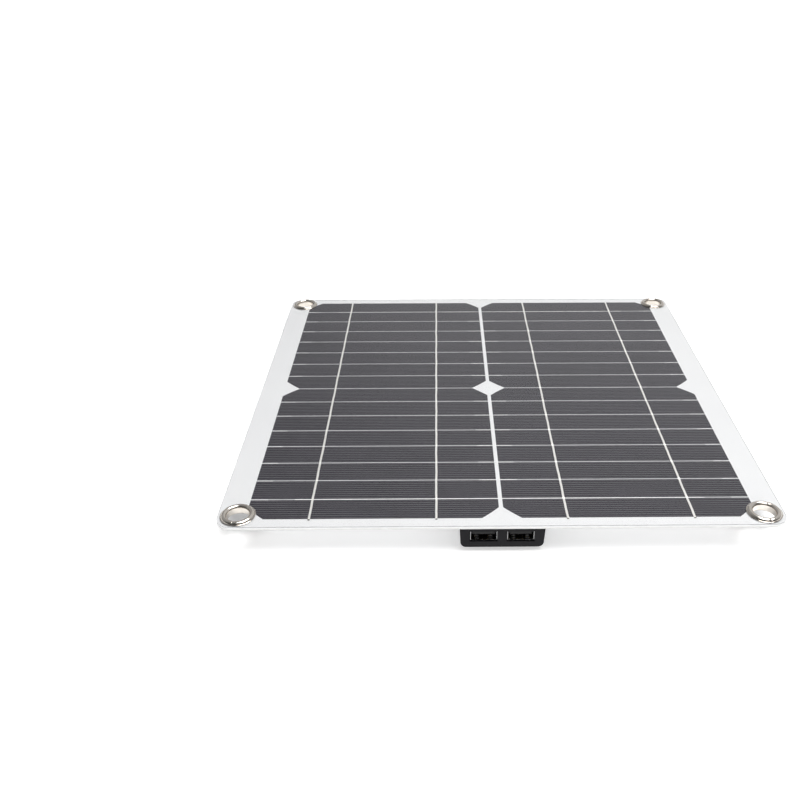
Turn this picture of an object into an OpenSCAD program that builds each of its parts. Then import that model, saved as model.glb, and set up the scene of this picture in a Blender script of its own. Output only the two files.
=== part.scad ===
// Semi-flexible camping solar panel with a two-socket USB output box.
//
// The sheet is a laminate: clear film, clear encapsulant, 32 monocrystalline strips with their
// ribbons, white encapsulant, stiffening board and backsheet.  Four eyelets clamp its corners,
// and the output box is bonded under the middle of its front edge.
//
// Millimetres.  +X right, +Y from the front edge (the USB edge) to the back edge, +Z up.
// The origin is under the centre of the sheet, at the level of the output box's foot.

/* [Sheet] */
// Width of the laminated sheet, left to right
sheet_w = 280; // [278:1:300]
// Depth of the laminated sheet, front edge to back edge
sheet_d = 276; // [274:1:300]
// Radius of the sheet's corners
corner_r = 8; // [6:0.5:9]

/* [Laminate] */
// Thickness of the clear front film
film_t = 0.1; // [0.1:0.05:0.2]
// Thickness of the clear encapsulant above the cells
over_cell_t = 0.2; // [0.2:0.05:0.4]
// Thickness of one silicon strip
cell_t = 0.2; // [0.15:0.05:0.3]
// How far the white encapsulant between the strips stays below their faces
ridge_drop = 0.05; // [0.05:0.01:0.1]
// Thickness of the white encapsulant under the cells
under_cell_t = 0.35; // [0.35:0.05:0.5]
// Thickness of the stiffening board
board_t = 0.95; // [0.6:0.05:1.5]
// Thickness of the backsheet
backsheet_t = 0.2; // [0.1:0.05:0.4]

/* [Cells] */
// Width of one pseudo-square cell
cell_w = 125; // [120:0.5:125]
// Diameter of the ingot that rounds the cell's corners
ingot_d = 165; // [160:1:170]
// Height of one strip cut from a cell
strip_h = 15.65; // [15:0.05:15.7]
// Gap between neighbouring strips
strip_gap = 0.82; // [0.6:0.02:0.9]
// Gap between the left and right columns
column_gap = 2.1; // [1.5:0.1:3]

/* [Ribbons] */
// Width of a tabbing ribbon
ribbon_w = 1.1; // [0.8:0.1:1.6]
// Thickness of tabbing, bus and link ribbon
ribbon_t = 0.12; // [0.08:0.01:0.12]
// How far the last tabbing ribbons stand out past the front cell edge
ribbon_tail = 1.2; // [0.8:0.1:2]
// Half the length of each bus ribbon
bus_half = 104; // [100:1:106]
// Width of each bus ribbon
bus_w = 4; // [3:0.5:5]
// Half the length of each short link between the columns
link_half = 8; // [6:0.5:9]

/* [Eyelets] */
// Distance from the sheet's centre to an eyelet, across
eyelet_x = 130; // [129:0.1:130]
// Distance from the sheet's centre to an eyelet, front to back
eyelet_y = 128.4; // [127:0.1:128.4]
// Radius of the hole through an eyelet
eyelet_bore_r = 5.5; // [5:0.1:5.6]
// Thickness of the eyelet's sheet metal
eyelet_t = 0.35; // [0.3:0.05:0.4]
// Radius of the rolled rim, outside
roll_r = 1.45; // [1.3:0.05:1.5]
// Radius of the eyelet's outer lip
lip_r = 8.75; // [8.5:0.05:8.8]

/* [Output box] */
// Height from the box's foot to the underside of the sheet
box_h = 12; // [12:0.5:16]
// Width of the box where it meets the sheet
box_w = 42; // [42:0.5:48]
// Depth of the box, front to back
box_d = 55; // [52:1:65]
// How far the box's face stands back from the sheet's front edge
box_setback = 1; // [0.5:0.5:4]
// How much narrower the box is at its foot, on each side
box_draft = 0.6; // [0.4:0.1:1]
// Radius of the box's two lower edges
box_r = 2.8; // [2:0.1:3]
// Thickness of the box's side walls
box_wall = 1.8; // [1.5:0.1:2]
// Thickness of the box's floor
box_floor = 1.6; // [1.2:0.1:1.6]
// Thickness of the adhesive pad between box and sheet
pad_t = 0.8; // [0.5:0.1:0.8]

/* [USB sockets] */
// Distance between the two socket centres
usb_pitch = 18.2; // [18:0.1:19]
// Outside width of a socket shell
usb_w = 13.1; // [13.1:0.1:13.2]
// Outside height of a socket shell
usb_h = 5.7; // [5.7:0.1:5.8]
// Length of a socket shell
usb_len = 14; // [13:0.5:15]

/* [Hidden] */
$fn = 96;
cut = 1; // overshoot of a cutting solid past the face it opens

strips = 16;
strips_per_cell = 8;
strip_pitch = strip_h + strip_gap;

// Levels, from the underside of the sheet up
board_z = box_h + backsheet_t;
rear_z = board_z + board_t;
cell_z = rear_z + under_cell_t;
cell_top_z = cell_z + cell_t;
ridge_z = cell_top_z - ridge_drop;
film_z = cell_top_z + over_cell_t;
top_z = film_z + film_t;
bus_z = cell_z - 2 * ribbon_t;
insulation_t = 0.04; // keeps the near bus clear of the ribbons that cross it
near_bus_z = bus_z - insulation_t;

// Ribbon and bus places
ribbon_offset = cell_w / 4;
ribbon_slack = 0.1; // clearance beside a ribbon in its trough
trough_w = ribbon_w + 2 * ribbon_slack;
bead_w = strip_gap - 0.06;
run_short = 3; // how far a ribbon ends before the front edge of the strip it lies under
tab_inset = 1; // how far the first ribbon tabs start inside the back strip
bus_reach = 0.3; // how far a bus or link reaches past the middle of the gap it shows in
return_x = -6;
return_w = 3;
return_end_y = -106;
riser_l = 2;
lead_r = 0.8;
lead_hole_r = lead_r + 0.2;
lead_x = 6;

// Eyelet section
barrel_r = eyelet_bore_r + eyelet_t;
eyelet_hole_r = barrel_r + 0.05;
roll_x = eyelet_bore_r + roll_r;
curl_r = 0.95;
curl_x = eyelet_bore_r + curl_r;
washer_t = 0.5;

// Output box
box_front_y = -sheet_d / 2 + box_setback;
box_mid_y = box_front_y + box_d / 2;
box_top_z = box_h - pad_t;
pad_inset = 0.5;
base_t = 1.5;
base_z = box_top_z - base_t;
rim_wall = 1; // wall thickness beside the base plate
fit_gap = 0.1; // clearance of a part in its seat
post_h = 0.65;
board_rest_z = box_floor + post_h;
pcb_t = 1.6;
pcb_top_z = board_rest_z + pcb_t;
pcb_w = 36;
pcb_l = 48;
pcb_setback = 3;
pcb_y = box_front_y + pcb_setback;
post_r = 1.5;
post_inset = 4;

// USB socket
usb_wall = 0.3;
usb_z = pcb_top_z + usb_h / 2;
usb_recess = 0.8; // how far a shell's mouth stands back from the box's face
usb_mouth_y = box_front_y + usb_recess;
window_gap = 0.3;
window_top_gap = 0.1;
tongue_w = 11.1;
tongue_t = 1.84;
tongue_top_gap = 0.7;
tongue_back = 0.9;
tongue_z = usb_z + usb_h / 2 - usb_wall - tongue_top_gap - tongue_t;
body_l = 4;
contact_t = 0.25;
contact_w = 1;
outer_contact_x = 3.5;
inner_contact_x = 1;
outer_contact_back = 1.9; // how far back from the mouth the outer contacts start
inner_contact_back = 2.9;

// Spring leaf in a shell's floor, with its distances from the mouth
leaf_w = 1.8;
leaf_x = 3.4;
leaf_tip_y = 1.6;
leaf_bump_y = 2.4;
leaf_bump_l = 0.8;
leaf_root_y = 9;
leaf_rise = 0.6;
leaf_tip_rise = 0.1;
leaf_slot_y = 1;
leaf_slot_gap = 0.3;
leaf_slot_top = 1.85; // height of the slot's cutting block

// Parts on the circuit board, placed from its centre line and its front edge
inductor_at = [-10, 26];
inductor_w = 11;
inductor_corner_d = 12;
inductor_h = 4;
inductor_foot_h = 0.6;
capacitors_x = [4, 12];
capacitors_y = 22;
capacitor_base_w = 6.6;
capacitor_base_h = 0.8;
capacitor_d = 6.3;
capacitor_h = 4.4;
chip_at = [8, 32];
chip_w = 4;
chip_l = 5;
chip_h = 1.6;
leg_pitch = 1.27;
leg_reach = 1;
leg_w = 0.4;
leg_h = 0.6;
diode_at = [-10, 40];
diode_l = 4.4;
diode_w = 2.7;
diode_h = 2.2;
diode_tab_l = 0.5;
diode_tab_w = 1.6;
diode_tab_h = 1.2;
part_lift = 0.1; // gap between a part's body and the circuit board

// Y of the middle of strip n, counted 1 to 16 from the back edge
function strip_y(n) = (strips / 2 + 0.5 - n) * strip_pitch;
// Y of the gap on the front side of strip n
function gap_y(n) = strip_y(n) - strip_pitch / 2;
// X of the middle of a column; side is -1 on the left and 1 on the right
function column_x(side) = side * (cell_w + column_gap) / 2;
// A bus or link lies under one of the two strips beside its gap, so that it can't join them
bus_offset = bus_w / 2 - bus_reach;
far_bus_y = gap_y(1) + bus_offset;
near_bus_y = gap_y(strips - 1) - bus_offset;

// ---- Shared shapes ----

module sheet_outline() {
    for (sx = [-1, 1], sy = [-1, 1])
        translate([sx * (sheet_w / 2 - corner_r), sy * (sheet_d / 2 - corner_r)]) circle(corner_r);
    square([sheet_w, sheet_d - 2 * corner_r], center = true);
    square([sheet_w - 2 * corner_r, sheet_d], center = true);
}

module at_eyelets() {
    for (sx = [-1, 1], sy = [-1, 1])
        translate([sx * eyelet_x, sy * eyelet_y, 0]) children();
}

// One layer of the laminate, with its four eyelet holes
module layer(z, t) {
    difference() {
        translate([0, 0, z]) linear_extrude(t) sheet_outline();
        at_eyelets() translate([0, 0, z - cut]) cylinder(r = eyelet_hole_r, h = t + 2 * cut);
    }
}

// A box with its X and Y centre and its Z range given
module block(x, y, w, d, z0, z1) {
    translate([x - w / 2, y - d / 2, z0]) cube([w, d, z1 - z0]);
}

// Outline of strip n: a slice of a pseudo-square cell, so the end slices lose their corners
module strip_outline(n) {
    slice = (n - 1) % strips_per_cell;
    ingot_y = (slice + 0.5 - strips_per_cell / 2) * strip_h;
    intersection() {
        square([cell_w, strip_h], center = true);
        translate([0, ingot_y]) circle(d = ingot_d, $fn = 256);
    }
}

module strip(side, n, z, t) {
    translate([column_x(side), strip_y(n), z]) linear_extrude(t) strip_outline(n);
}

module all_strips(z, t) {
    for (side = [-1, 1], n = [1 : strips]) strip(side, n, z, t);
}

module at_ribbons(side) {
    for (s = [-1, 1]) translate([column_x(side) + s * ribbon_offset, 0, 0]) children();
}

// Side view of a ribbon, in Y and Z, swept along X to the ribbon's width
module ribbon_side_view(points) {
    translate([-ribbon_w / 2, 0, 0]) rotate([90, 0, 90]) linear_extrude(ribbon_w) polygon(points);
}

// ---- Laminate ----

module front_film() {
    color("white", 0.25) layer(film_z, film_t);
}

module front_encapsulant() {
    color("white", 0.3) difference() {
        layer(ridge_z, film_z - ridge_z);
        all_strips(ridge_z - cut, ridge_drop + cut);
        for (side = [-1, 1]) at_ribbons(side) ribbon_trough(ridge_z - cut, cell_top_z + ribbon_t);
    }
}

module ribbon_trough(z0, z1) {
    y0 = strip_y(strips) - strip_h / 2 - ribbon_tail - ribbon_slack;
    y1 = strip_y(1) + strip_h / 2;
    block(0, (y0 + y1) / 2, trough_w, y1 - y0, z0, z1);
}

module rear_encapsulant() {
    color("whitesmoke") difference() {
        layer(rear_z, ridge_z - rear_z);
        all_strips(cell_z, cell_t);
        for (side = [-1, 1]) at_ribbons(side) ribbon_trough(near_bus_z, ridge_z + cut);
        bus_space(gap_y(1), far_bus_y, bus_z);
        bus_space(gap_y(strips - 1), near_bus_y, near_bus_z);
        at_link_gaps() {
            block(0, bus_offset, 2 * link_half, bus_w, cell_z - ribbon_t, cell_z);
            bead_space(link_half, cell_z - ribbon_t);
        }
        block(return_x, far_bus_y, return_w, riser_l, rear_z - cut, bus_z);
        translate([lead_x, near_bus_y, rear_z - cut])
            cylinder(r = lead_hole_r, h = near_bus_z - rear_z + cut);
    }
}

module bus_space(y_gap, y_bus, z) {
    block(0, y_bus, 2 * bus_half, bus_w, z, cell_z);
    translate([0, y_gap, 0]) bead_space(bus_half, z);
}

// The slots that a solder bead stands in, left and right of the column gap
module bead_space(half, z0) {
    for (side = [-1, 1])
        block(side * (half + column_gap / 2) / 2, 0, half - column_gap / 2, strip_gap, z0, ridge_z + cut);
}

module at_link_gaps() {
    for (n = [2 : strips - 2]) if (n != strips_per_cell) translate([0, gap_y(n), 0]) children();
}

module base_board() {
    y0 = return_end_y - lead_r;
    y1 = far_bus_y + riser_l / 2;
    color("white") difference() {
        layer(board_z, board_t);
        block(return_x, (y0 + y1) / 2, return_w, y1 - y0, rear_z - ribbon_t, rear_z + cut);
        lead_holes(board_z - cut, rear_z + cut);
    }
}

module lead_holes(z0, z1) {
    translate([return_x, return_end_y, z0]) cylinder(r = lead_hole_r, h = z1 - z0);
    translate([lead_x, near_bus_y, z0]) cylinder(r = lead_hole_r, h = z1 - z0);
}

module backsheet() {
    color("white") difference() {
        layer(box_h, backsheet_t);
        lead_holes(box_h - cut, board_z + cut);
    }
}

// ---- Cells and ribbons ----

module cell(side, n) {
    color([0.16, 0.16, 0.18]) strip(side, n, cell_z, cell_t);
}

// Each ribbon runs along a strip's face, dips through the gap and runs on under the next strip.
// The last one wraps the front edge and returns to the near bus.
module string_ribbons(side) {
    run = strip_h - run_short;
    color("silver") at_ribbons(side) {
        for (n = [1 : strips - 1]) {
            y_far = strip_y(n) + strip_h / 2;
            y_near = strip_y(n) - strip_h / 2;
            y_next = y_near - strip_gap;
            ribbon_side_view([
                [y_far, cell_top_z], [y_near, cell_top_z],
                [y_next, cell_z - ribbon_t], [y_next - run, cell_z - ribbon_t],
                [y_next - run, cell_z], [y_next, cell_z],
                [y_near, cell_top_z + ribbon_t], [y_far, cell_top_z + ribbon_t]]);
        }
        y_far = strip_y(strips) + strip_h / 2;
        y_tail = strip_y(strips) - strip_h / 2 - ribbon_tail;
        y_back = near_bus_y - bus_w / 2;
        ribbon_side_view([
            [y_far, cell_top_z], [y_tail + ribbon_t, cell_top_z],
            [y_tail + ribbon_t, near_bus_z + ribbon_t], [y_back, near_bus_z + ribbon_t],
            [y_back, near_bus_z], [y_tail, near_bus_z],
            [y_tail, cell_top_z + ribbon_t], [y_far, cell_top_z + ribbon_t]]);
        block(0, strip_y(1) + tab_inset, ribbon_w, strip_h - 2 * tab_inset, cell_z - ribbon_t, cell_z);
    }
}

// Solder beads that fill a gap above a bus or a link, broken where ribbons dip through
module beads(half, z0, z1) {
    difference() {
        for (side = [-1, 1])
            block(side * (half + column_gap / 2) / 2, 0, half - column_gap / 2, bead_w, z0, z1);
        for (side = [-1, 1]) at_ribbons(side) block(0, 0, trough_w, strip_gap, z0 - cut, z1 + cut);
    }
}

module cross_links() {
    color("silver") at_link_gaps() {
        block(0, bus_offset, 2 * link_half, bus_w, cell_z - ribbon_t, cell_z);
        beads(link_half, cell_z, ridge_z);
    }
}

module bus_ribbon(y_gap, y_bus, z) {
    color("silver") {
        block(0, y_bus, 2 * bus_half, bus_w, z, z + ribbon_t);
        translate([0, y_gap, 0]) beads(bus_half, z + ribbon_t, ridge_z);
    }
}

module bus_ribbon_far() { bus_ribbon(gap_y(1), far_bus_y, bus_z); }
module bus_ribbon_near() { bus_ribbon(gap_y(strips - 1), near_bus_y, near_bus_z); }

module return_ribbon() {
    y0 = return_end_y - lead_r;
    y1 = far_bus_y + riser_l / 2;
    color("silver") {
        block(return_x, (y0 + y1) / 2, return_w, y1 - y0, rear_z - ribbon_t, rear_z);
        block(return_x, far_bus_y, return_w, riser_l, rear_z, bus_z);
    }
}

// ---- Eyelets ----

// Half section of an arch of sheet metal: up is 1 for the rolled rim and -1 for the lower curl
module arch(x, z, r, up) {
    translate([x, z]) intersection() {
        difference() { circle(r); circle(r - eyelet_t); }
        translate([-r, up > 0 ? 0 : -r]) square([2 * r, r]);
    }
}

module eyelets() {
    color([0.78, 0.74, 0.70]) at_eyelets() rotate_extrude() {
        arch(roll_x, top_z, roll_r, 1);
        arch(curl_x, box_h - washer_t, curl_r, -1);
        translate([eyelet_bore_r, box_h - washer_t]) square([eyelet_t, top_z - box_h + washer_t]);
        translate([roll_x + roll_r - eyelet_t, top_z]) square([lip_r - roll_x - roll_r + eyelet_t, eyelet_t]);
    }
}

module eyelet_washers() {
    color([0.78, 0.74, 0.70]) at_eyelets() translate([0, 0, box_h - washer_t]) difference() {
        cylinder(r = lip_r, h = washer_t);
        translate([0, 0, -cut]) cylinder(r = eyelet_hole_r, h = washer_t + 2 * cut);
    }
}

// ---- Output box ----

module adhesive_pad() {
    color("dimgray") difference() {
        block(0, box_mid_y, box_w - 2 * pad_inset, box_d - 2 * pad_inset, box_top_z, box_h);
        lead_holes(box_top_z - cut, box_h + cut);
    }
}

module box_base() {
    color([0.12, 0.12, 0.13]) difference() {
        block(0, box_mid_y, box_w - 2 * (rim_wall + fit_gap), box_d - 2 * (rim_wall + fit_gap),
            base_z, box_top_z);
        lead_holes(base_z - cut, box_top_z + cut);
    }
}

// End view of the box: wide at the sheet, narrower at its foot, with two rounded lower edges
module box_end_view() {
    lean = atan(box_draft / box_top_z);
    foot_x = box_w / 2 - box_draft;
    reach = box_r * tan(45 - lean / 2); // from the foot's corner to where the rounding ends
    round_x = foot_x - reach;
    side = [foot_x + reach * sin(lean), reach * cos(lean)];
    polygon([[-round_x, 0], [round_x, 0], side, [box_w / 2, box_top_z],
        [-box_w / 2, box_top_z], [-side[0], side[1]]]);
    for (s = [-1, 1]) translate([s * round_x, box_r]) circle(box_r);
}

module box_cover() {
    inner_w = box_w - 2 * (box_wall + box_draft);
    inner_d = box_d - 2 * box_wall;
    color([0.14, 0.14, 0.15]) {
        difference() {
            translate([0, box_front_y + box_d, 0]) rotate([90, 0, 0])
                linear_extrude(box_d) box_end_view();
            block(0, box_mid_y, inner_w, inner_d, box_floor, box_top_z + cut);
            block(0, box_mid_y, box_w - 2 * rim_wall, box_d - 2 * rim_wall, base_z, box_top_z + cut);
            for (side = [-1, 1])
                block(side * usb_pitch / 2, box_front_y, usb_w + 2 * window_gap, 2 * (box_wall + cut),
                    usb_z - usb_h / 2 - window_gap, usb_z + usb_h / 2 + window_top_gap);
        }
        for (sx = [-1, 1], y = [pcb_y + post_inset, pcb_y + pcb_l - post_inset])
            translate([sx * (pcb_w / 2 - post_inset), y, box_floor])
                cylinder(r = post_r, h = post_h);
    }
}

module circuit_board() {
    color("darkgreen") block(0, pcb_y + pcb_l / 2, pcb_w, pcb_l, board_rest_z, pcb_top_z);
}

// ---- USB sockets ----

// Side view of a spring leaf: it rises from its root to a bump behind the mouth
module leaf_side_view() {
    bump_end_y = leaf_bump_y + leaf_bump_l;
    translate([usb_mouth_y, usb_z - usb_h / 2]) polygon([
        [leaf_root_y, 0], [leaf_root_y, usb_wall],
        [bump_end_y, usb_wall + leaf_rise], [leaf_bump_y, usb_wall + leaf_rise],
        [leaf_tip_y, usb_wall + leaf_tip_rise], [leaf_tip_y, leaf_tip_rise],
        [leaf_bump_y, leaf_rise], [bump_end_y, leaf_rise]]);
}

module usb_shell(side) {
    x = side * usb_pitch / 2;
    color("silver") {
        difference() {
            block(x, usb_mouth_y + usb_len / 2, usb_w, usb_len, usb_z - usb_h / 2, usb_z + usb_h / 2);
            block(x, usb_mouth_y + usb_len / 2, usb_w - 2 * usb_wall, usb_len + 2 * cut,
                usb_z - usb_h / 2 + usb_wall, usb_z + usb_h / 2 - usb_wall);
            for (s = [-1, 1])
                block(x + s * leaf_x, usb_mouth_y + (leaf_slot_y + leaf_root_y) / 2,
                    leaf_w + 2 * leaf_slot_gap, leaf_root_y - leaf_slot_y,
                    usb_z - usb_h / 2 - cut, usb_z - usb_h / 2 + leaf_slot_top);
        }
        for (s = [-1, 1])
            translate([x + s * leaf_x - leaf_w / 2, 0, 0])
                rotate([90, 0, 90]) linear_extrude(leaf_w) leaf_side_view();
    }
}

// Insulator: a block across the back of the shell with the tongue standing forward from it
module usb_tongue(side) {
    x = side * usb_pitch / 2;
    inner_top = usb_z + usb_h / 2 - usb_wall;
    inner_bottom = usb_z - usb_h / 2 + usb_wall;
    y0 = usb_mouth_y + tongue_back;
    y1 = usb_mouth_y + usb_len;
    color([0.1, 0.1, 0.1]) {
        block(x, (y0 + y1) / 2, tongue_w, y1 - y0, tongue_z, tongue_z + tongue_t);
        block(x, y1 - body_l / 2, usb_w - 2 * usb_wall, body_l, inner_bottom, inner_top);
    }
}

// Four contacts on the underside of the tongue; the outer two come nearer to the mouth
module usb_contacts(side) {
    y1 = usb_mouth_y + usb_len - body_l;
    color("gold") for (s = [-1, 1]) {
        contact(side * usb_pitch / 2 + s * outer_contact_x, usb_mouth_y + outer_contact_back, y1);
        contact(side * usb_pitch / 2 + s * inner_contact_x, usb_mouth_y + inner_contact_back, y1);
    }
}

module contact(x, y0, y1) {
    block(x, (y0 + y1) / 2, contact_w, y1 - y0, tongue_z - contact_t, tongue_z);
}

// ---- Parts on the circuit board ----

module on_board(at) {
    translate([at[0], pcb_y + at[1], pcb_top_z]) children();
}

module power_inductor() {
    color([0.25, 0.25, 0.27]) on_board(inductor_at) {
        translate([0, 0, inductor_foot_h]) intersection() {
            cylinder(d = inductor_corner_d, h = inductor_h);
            block(0, 0, inductor_w, inductor_w, 0, inductor_h);
        }
        block(0, 0, inductor_w, inductor_w, 0, inductor_foot_h);
    }
}

module smoothing_capacitors() {
    color("silver") for (x = capacitors_x) on_board([x, capacitors_y]) {
        block(0, 0, capacitor_base_w, capacitor_base_w, 0, capacitor_base_h);
        translate([0, 0, capacitor_base_h]) cylinder(d = capacitor_d, h = capacitor_h);
    }
}

module regulator_chip() {
    color([0.08, 0.08, 0.08]) on_board(chip_at) {
        block(0, 0, chip_w, chip_l, part_lift, chip_h);
        for (s = [-1, 1], i = [-1.5 : 1.5])
            block(s * (chip_w + leg_reach) / 2, i * leg_pitch, leg_reach, leg_w, 0, leg_h);
    }
}

module blocking_diode() {
    color([0.08, 0.08, 0.08]) on_board(diode_at) {
        block(0, 0, diode_l, diode_w, part_lift, diode_h);
        for (s = [-1, 1])
            block(s * (diode_l + diode_tab_l - part_lift) / 2, 0, diode_tab_l, diode_tab_w,
                0, diode_tab_h);
    }
}

// Two wires from the ribbons down to the circuit board
module panel_leads() {
    color("firebrick") {
        translate([return_x, return_end_y, pcb_top_z])
            cylinder(r = lead_r, h = rear_z - ribbon_t - pcb_top_z);
        translate([lead_x, near_bus_y, pcb_top_z]) cylinder(r = lead_r, h = near_bus_z - pcb_top_z);
    }
}

// ---- Nodes ----

function two_digits(n) = str(n < 10 ? "0" : "", n);

for (n = [1 : strips]) {
    cell(-1, n);
    cell(1, n);
}
front_film();
front_encapsulant();
string_ribbons(-1);  // string_ribbons_left
string_ribbons(1);  // string_ribbons_right
cross_links();
bus_ribbon_far();
bus_ribbon_near();
return_ribbon();
rear_encapsulant();
base_board();
backsheet();
eyelets();
eyelet_washers();
adhesive_pad();
box_base();
box_cover();
circuit_board();
usb_shell(-1);  // usb_shell_left
usb_shell(1);  // usb_shell_right
usb_tongue(-1);  // usb_tongue_left
usb_tongue(1);  // usb_tongue_right
usb_contacts(-1);  // usb_contacts_left
usb_contacts(1);  // usb_contacts_right
power_inductor();
smoothing_capacitors();
regulator_chip();
blocking_diode();
panel_leads();
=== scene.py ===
"""Semi-flexible camping solar panel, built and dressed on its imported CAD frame.

The sheet's layers and its cells are CAD nodes that only get their finishes here.  The ribbons,
eyelets, output box cover and USB socket shells are built again in finer form, each in the place
and size of the CAD node that it stands for.  Everything is in metres, in the frame of the CAD.
"""

import logging
import math
import random
from dataclasses import dataclass
from enum import Enum
from typing import Any, Callable, Optional, Union

import bmesh
import bpy
from mathutils import Matrix, Vector


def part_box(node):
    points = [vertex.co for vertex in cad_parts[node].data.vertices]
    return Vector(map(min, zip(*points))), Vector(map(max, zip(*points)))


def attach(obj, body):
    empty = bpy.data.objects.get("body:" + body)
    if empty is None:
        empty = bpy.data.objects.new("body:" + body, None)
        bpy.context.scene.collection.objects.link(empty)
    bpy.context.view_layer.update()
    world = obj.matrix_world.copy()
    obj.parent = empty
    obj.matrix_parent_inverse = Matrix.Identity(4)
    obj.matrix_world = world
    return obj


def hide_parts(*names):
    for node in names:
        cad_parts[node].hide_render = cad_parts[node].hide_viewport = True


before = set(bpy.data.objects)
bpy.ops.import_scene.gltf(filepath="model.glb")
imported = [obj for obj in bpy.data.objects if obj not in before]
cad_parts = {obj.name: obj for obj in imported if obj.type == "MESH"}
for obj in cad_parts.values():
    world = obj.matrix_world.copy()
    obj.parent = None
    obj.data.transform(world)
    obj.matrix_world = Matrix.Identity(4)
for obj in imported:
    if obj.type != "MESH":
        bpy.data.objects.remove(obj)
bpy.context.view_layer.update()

MM = 0.001
SAME = 1e-7  # Two places this near in metres are one
NEAR = 1e-6  # The same for edges that have been moved or spun
SHARP = math.radians(35)  # Edges that turn more than this are shaded sharp
STRIPS = 16  # In each column of cells
STRIP_PITCH = 16.47 * MM
Triple = tuple[float, float, float]
Span = tuple[float, float]
Stops = tuple[Span, ...]
NOISE_SPREAD: Stops = ((0.3, 0.0), (0.7, 1.0))  # Stretches noise over its whole range
Number = Union[float, "Value"]
LOG = logging.getLogger("solar_panel")


class Side(Enum):
    """A side of the panel, by its word in the names of nodes and pieces."""

    LEFT = "left"
    RIGHT = "right"

    def __str__(self) -> str:
        """The word itself."""
        return self.value


class Axis(Enum):
    """One axis of a vector, by its place in it."""

    X = 0
    Y = 1
    Z = 2


# ---- Shader maths ----


class Value:
    """A shader socket.  Arithmetic on it adds Math nodes to its material."""

    def __init__(self, shader: "Shader", socket: bpy.types.NodeSocket) -> None:
        """Wraps an output socket of a shader's tree."""
        self.shader = shader
        self.socket = socket

    def __add__(self, other: Number) -> "Value":
        """Sum of two values."""
        return self.shader.math("ADD", self, other)

    __radd__ = __add__

    def __sub__(self, other: Number) -> "Value":
        """This value less another."""
        return self.shader.math("SUBTRACT", self, other)

    def __rsub__(self, other: Number) -> "Value":
        """Another value less this one."""
        return self.shader.math("SUBTRACT", other, self)

    def __mul__(self, other: Number) -> "Value":
        """Product of two values."""
        return self.shader.math("MULTIPLY", self, other)

    __rmul__ = __mul__

    def __truediv__(self, other: Number) -> "Value":
        """This value divided by another."""
        return self.shader.math("DIVIDE", self, other)

    def __abs__(self) -> "Value":
        """Size of this value without its sign."""
        return self.shader.math("ABSOLUTE", self)

    def __gt__(self, other: Number) -> "Value":
        """1 where this value is the greater, 0 elsewhere."""
        return self.shader.math("GREATER_THAN", self, other)

    def cell(self) -> "Value":
        """What is left over whole numbers, from 0 to 1."""
        return self.shader.math("FRACT", self)


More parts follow.
